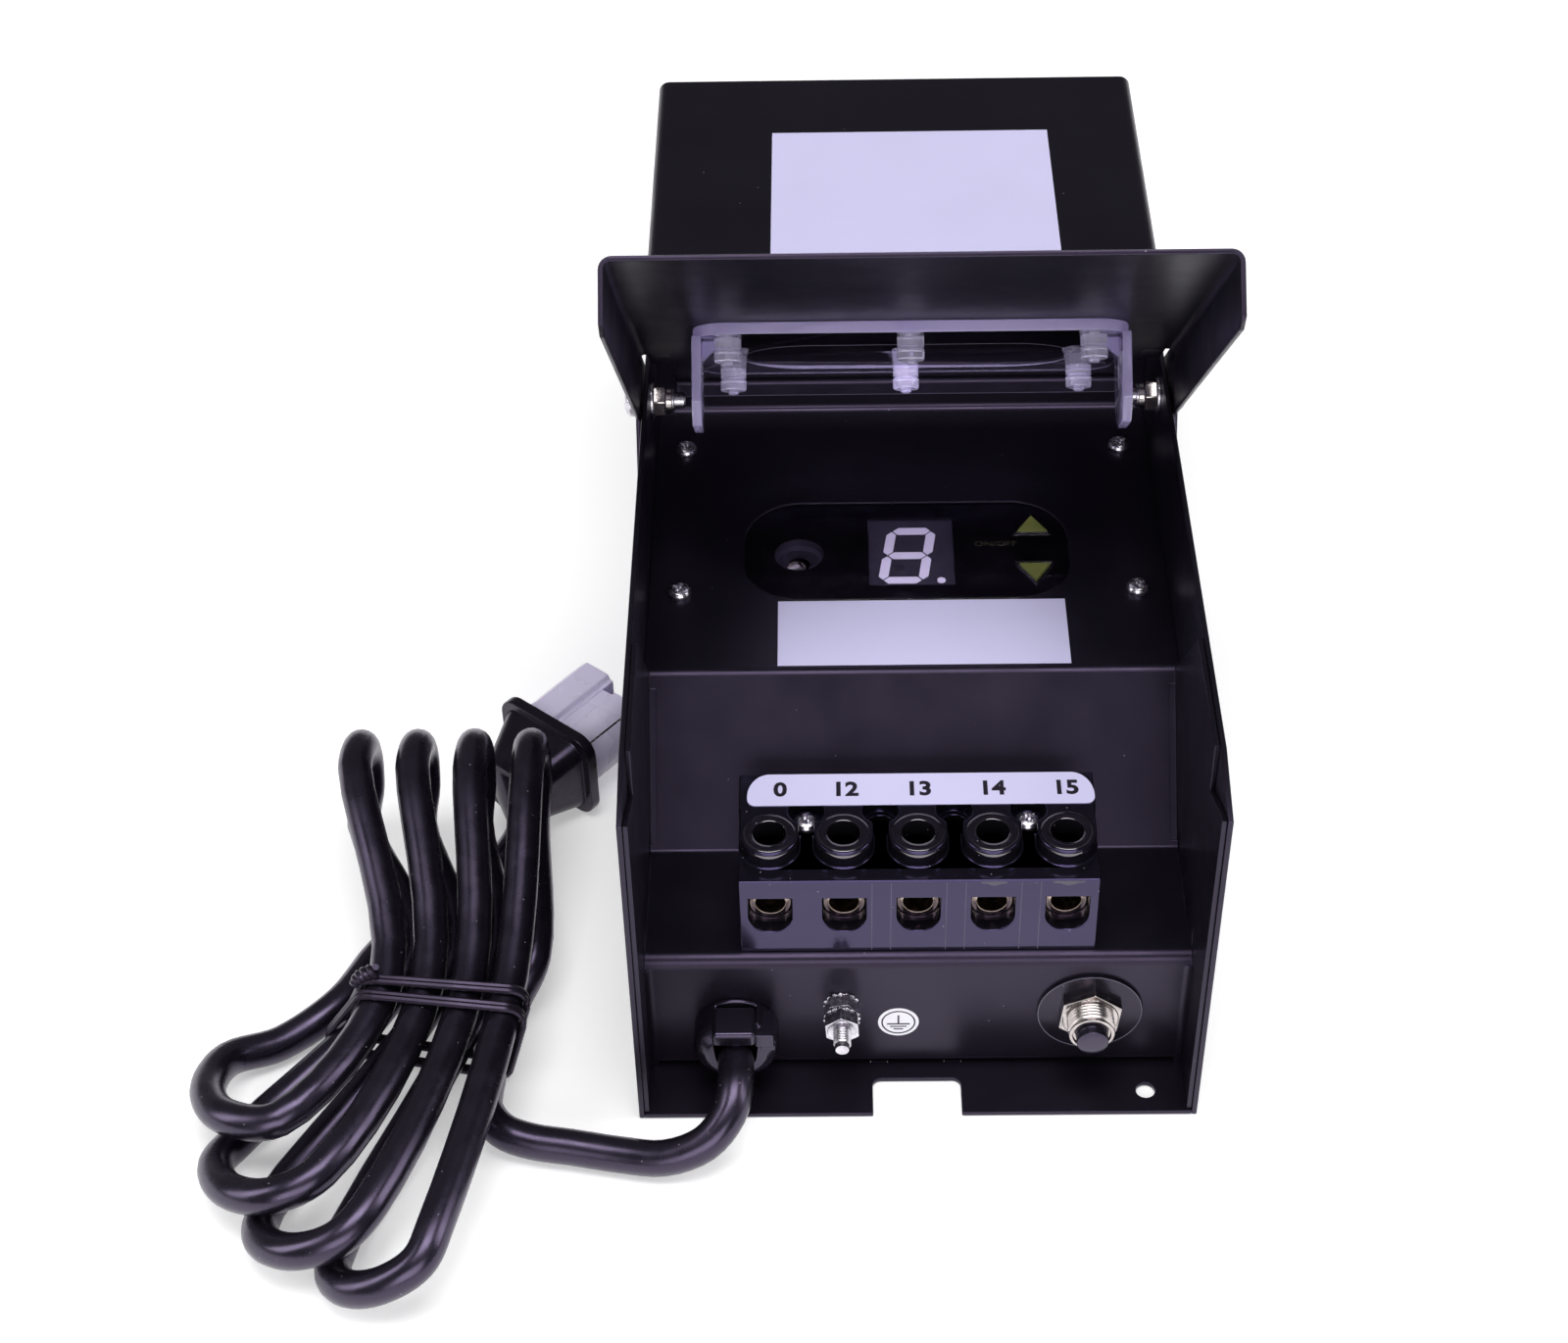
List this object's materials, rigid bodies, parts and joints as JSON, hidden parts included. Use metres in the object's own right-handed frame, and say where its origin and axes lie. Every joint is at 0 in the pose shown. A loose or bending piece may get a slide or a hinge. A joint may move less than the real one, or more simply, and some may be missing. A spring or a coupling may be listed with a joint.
{
  "type": "low voltage landscape transformer",
  "caption": "Outdoor low voltage lighting transformer: black sheet steel case with hinged door and clear window, timer control, screw terminals, breaker, and a coiled supply cord with plug.",
  "frame": {"origin": "middle of the back face that it lies on, at the case's bottom centre without the supply cord", "axes": "+X across the case to the right, +Y from the bottom end to the top end, +Z out of the front; the unit lies on its back"},
  "size_m": [0.2335, 0.3218, 0.189],
  "materials": {
    "case_paint": "satin powder coat",
    "galvanised_steel": "galvanised",
    "plated_steel": "zinc plated",
    "smoked_lens": "clear gloss",
    "mask_print": "printed gloss",
    "black_plastic": "fine moulded grain",
    "circuit_board": "solder mask",
    "display_grey": "matte",
    "segment_white": "satin",
    "sensor_resin": "clear gloss",
    "key_olive": "satin",
    "label_film": "satin film",
    "clear_plastic": "clear gloss",
    "block_plastic": "polished moulding",
    "barrel_metal": "nickel plated",
    "relief_nylon": "satin nylon",
    "label_white": "satin film",
    "nickel": "nickel plated",
    "ring_black": "satin print",
    "button_black": "satin",
    "core_iron": "varnished laminations",
    "winding_copper": "enamelled wire",
    "relay_blue": "moulded",
    "cord_jacket": "smooth jacket",
    "plug_pvc": "moulded PVC",
    "blade_brass": "nickel plated",
    "cap_plastic": "translucent",
    "tie_plastic": "satin"
  },
  "bodies": {
    "case": {"outer_cover": "case_paint", "back_panel": "case_paint", "front_panel": "case_paint", "panel_brackets": "galvanised_steel", "panel_screws": "plated_steel", "control_lens": "smoked_lens", "lens_mask": "mask_print", "control_housing": "black_plastic", "control_board": "circuit_board", "key_switches": "black_plastic", "digit_display": "display_grey", "digit_segments": "segment_white", "photocell": "sensor_resin", "guide_label": "label_film", "rating_label": "label_film", "hinge_bolts": "plated_steel", "hinge_washers": "plated_steel", "hinge_nuts": "plated_steel", "terminal_block": "block_plastic", "terminal_barrels": "barrel_metal", "terminal_screws": "barrel_metal", "block_screws": "plated_steel", "terminal_strip": "label_film", "strain_relief": "relief_nylon", "relief_wedge": "relief_nylon", "ground_stud": "plated_steel", "ground_nuts": "plated_steel", "ground_washers": "plated_steel", "ground_label": "label_white", "breaker_body": "nickel", "breaker_ring": "ring_black", "breaker_nut": "nickel", "iron_core": "core_iron", "primary_winding": "winding_copper", "secondary_winding": "winding_copper", "coil_bobbin": "black_plastic", "core_bolts": "plated_steel", "core_spacers": "plated_steel", "power_relay": "relay_blue", "cord_lead": "cord_jacket", "cord_hank": "cord_jacket", "cord_tail": "cord_jacket", "plug_body": "plug_pvc", "plug_blades": "blade_brass", "plug_cap": "cap_plastic", "twist_tie": "tie_plastic"},
    "door": {"door": "case_paint", "door_window": "clear_plastic"},
    "up_key": {"up_key": "key_olive"},
    "down_key": {"down_key": "key_olive"},
    "reset_button": {"reset_button": "button_black"}
  },
  "joints": [
    {"name": "door_hinge", "type": "hinge", "parent": "case", "child": "door", "pos_m": [0, 0.017, 0.092], "axis": [-1, 0, 0], "range_deg": [-46, 82]},
    {"name": "up_key_press", "type": "slide", "parent": "case", "child": "up_key", "axis": [0, 0, -1], "range_m": [0, 0.0003], "stiffness_N_per_m": 500, "springref_m": -0.001},
    {"name": "down_key_press", "type": "slide", "parent": "case", "child": "down_key", "axis": [0, 0, -1], "range_m": [0, 0.0003], "stiffness_N_per_m": 500, "springref_m": -0.001},
    {"name": "reset_trip", "type": "slide", "parent": "case", "child": "reset_button", "axis": [0, -1, 0], "range_m": [0, 0.0025]}
  ]
}
